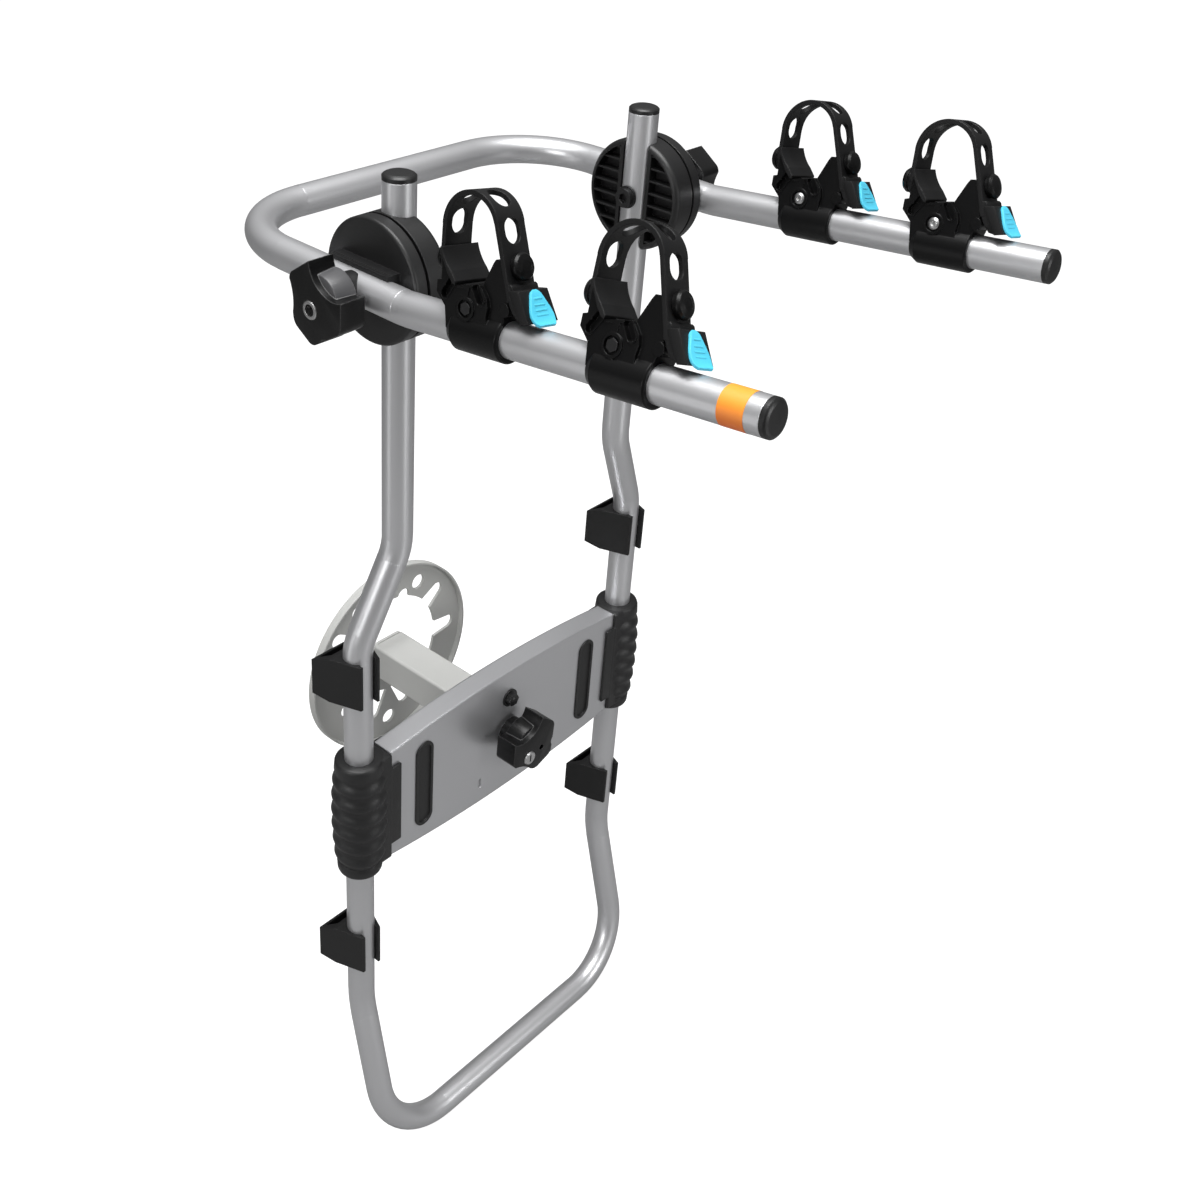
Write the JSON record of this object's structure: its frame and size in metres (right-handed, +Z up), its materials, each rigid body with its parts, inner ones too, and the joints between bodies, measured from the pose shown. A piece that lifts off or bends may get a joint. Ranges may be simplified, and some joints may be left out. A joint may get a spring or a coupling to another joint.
{
  "type": "spare wheel bike rack",
  "caption": "Bike rack that bolts to a rear spare wheel: bent tube masts, a clamp plate on a stud disc, and folding arms with strapped cradles.",
  "frame": {"origin": "centre of the stud disc on its rear face, which lies on the wheel", "axes": "+Y points into the wheel, so -Y points away from the vehicle; +Z up; +X to the right of a person who faces the rack"},
  "size_m": [0.4372, 0.5252, 1.0374],
  "materials": {
    "silver_paint": "satin metallic silver",
    "black_plastic": "fine moulded grain",
    "rubber": "matt",
    "light_grey_paint": "satin light grey",
    "zinc_steel": "zinc plated",
    "cyan_plastic": "smooth"
  },
  "bodies": {
    "frame": {"mast_tube": "silver_paint", "mast_caps": "black_plastic", "plate": "silver_paint", "plate_strips": "rubber", "plate_bolt": "black_plastic", "plate_nut": "zinc_steel", "grip_left": "black_plastic", "grip_right": "black_plastic", "wheel_disc": "light_grey_paint", "bracket_tube": "light_grey_paint", "centre_bolt": "zinc_steel", "hub_fixed_left": "black_plastic", "hub_fixed_right": "black_plastic", "hub_bolt_left": "zinc_steel", "hub_bolt_right": "zinc_steel"},
    "arms": {"arm_tube": "silver_paint", "arm_caps": "black_plastic", "hub_turn_left": "black_plastic", "hub_turn_right": "black_plastic", "hub_washers": "black_plastic"},
    "knob_left": {"hub_knob_left": "black_plastic", "hub_nut_left": "zinc_steel"},
    "knob_right": {"hub_knob_right": "black_plastic", "hub_nut_right": "zinc_steel"},
    "plate_knob": {"centre_knob": "black_plastic", "centre_nut": "zinc_steel"},
    "lock": {"lock_barrel": "zinc_steel"},
    "pad_upper_left": {"tyre_pad_upper_left": "black_plastic"},
    "pad_upper_right": {"tyre_pad_upper_right": "black_plastic"},
    "pad_lower_left": {"tyre_pad_lower_left": "black_plastic"},
    "pad_lower_right": {"tyre_pad_lower_right": "black_plastic"},
    "cradle_left_rear": {"cradle_left_rear": "black_plastic", "saddle_left_rear": "rubber", "strap_left_rear": "rubber", "tab_left_rear": "cyan_plastic", "screw_left_rear": "zinc_steel"},
    "cradle_left_front": {"cradle_left_front": "black_plastic", "saddle_left_front": "rubber", "strap_left_front": "rubber", "tab_left_front": "cyan_plastic", "screw_left_front": "zinc_steel"},
    "cradle_right_rear": {"cradle_right_rear": "black_plastic", "saddle_right_rear": "rubber", "strap_right_rear": "rubber", "tab_right_rear": "cyan_plastic", "screw_right_rear": "zinc_steel"},
    "cradle_right_front": {"cradle_right_front": "black_plastic", "saddle_right_front": "rubber", "strap_right_front": "rubber", "tab_right_front": "cyan_plastic", "screw_right_front": "zinc_steel"}
  },
  "joints": [
    {"name": "arms_fold", "type": "hinge", "parent": "frame", "child": "arms", "pos_m": [0, -0.161, 0.496], "axis": [1, 0, 0], "range_deg": [-30, 80]},
    {"name": "knob_left_spin", "type": "hinge", "parent": "frame", "child": "knob_left", "pos_m": [-0.21, -0.161, 0.496], "axis": [1, 0, 0], "continuous": true},
    {"name": "knob_right_spin", "type": "hinge", "parent": "frame", "child": "knob_right", "pos_m": [0.21, -0.161, 0.496], "axis": [1, 0, 0], "continuous": true},
    {"name": "plate_knob_spin", "type": "hinge", "parent": "frame", "child": "plate_knob", "pos_m": [0, -0.19, 0], "axis": [0, 1, 0], "continuous": true},
    {"name": "lock_turn", "type": "hinge", "parent": "plate_knob", "child": "lock", "pos_m": [-0.0077, -0.2, -0.0094], "axis": [0, 1, 0], "range_deg": [0, 90]},
    {"name": "pad_upper_left_slide", "type": "slide", "parent": "frame", "child": "pad_upper_left", "axis": [0, 0, 1], "range_m": [-0.04, 0]},
    {"name": "pad_upper_right_slide", "type": "slide", "parent": "frame", "child": "pad_upper_right", "axis": [0, 0, 1], "range_m": [-0.04, 0]},
    {"name": "pad_lower_left_slide", "type": "slide", "parent": "frame", "child": "pad_lower_left", "axis": [0, 0, 1], "range_m": [-0.03, 0.05]},
    {"name": "pad_lower_right_slide", "type": "slide", "parent": "frame", "child": "pad_lower_right", "axis": [0, 0, 1], "range_m": [-0.02, 0.06]},
    {"name": "cradle_left_rear_swivel", "type": "hinge", "parent": "arms", "child": "cradle_left_rear", "pos_m": [-0.1775, -0.28862, 0.50274], "axis": [0, -0.9952, 0.0976], "range_deg": [-30, 30]},
    {"name": "cradle_left_front_swivel", "type": "hinge", "parent": "arms", "child": "cradle_left_front", "pos_m": [-0.1775, -0.40805, 0.51445], "axis": [0, -0.9952, 0.0976], "range_deg": [-30, 30]},
    {"name": "cradle_right_rear_swivel", "type": "hinge", "parent": "arms", "child": "cradle_right_rear", "pos_m": [0.1775, -0.31151, 0.50498], "axis": [0, -0.9952, 0.0976], "range_deg": [-30, 30]},
    {"name": "cradle_right_front_swivel", "type": "hinge", "parent": "arms", "child": "cradle_right_front", "pos_m": [0.1775, -0.42895, 0.5165], "axis": [0, -0.9952, 0.0976], "range_deg": [-30, 30]}
  ]
}
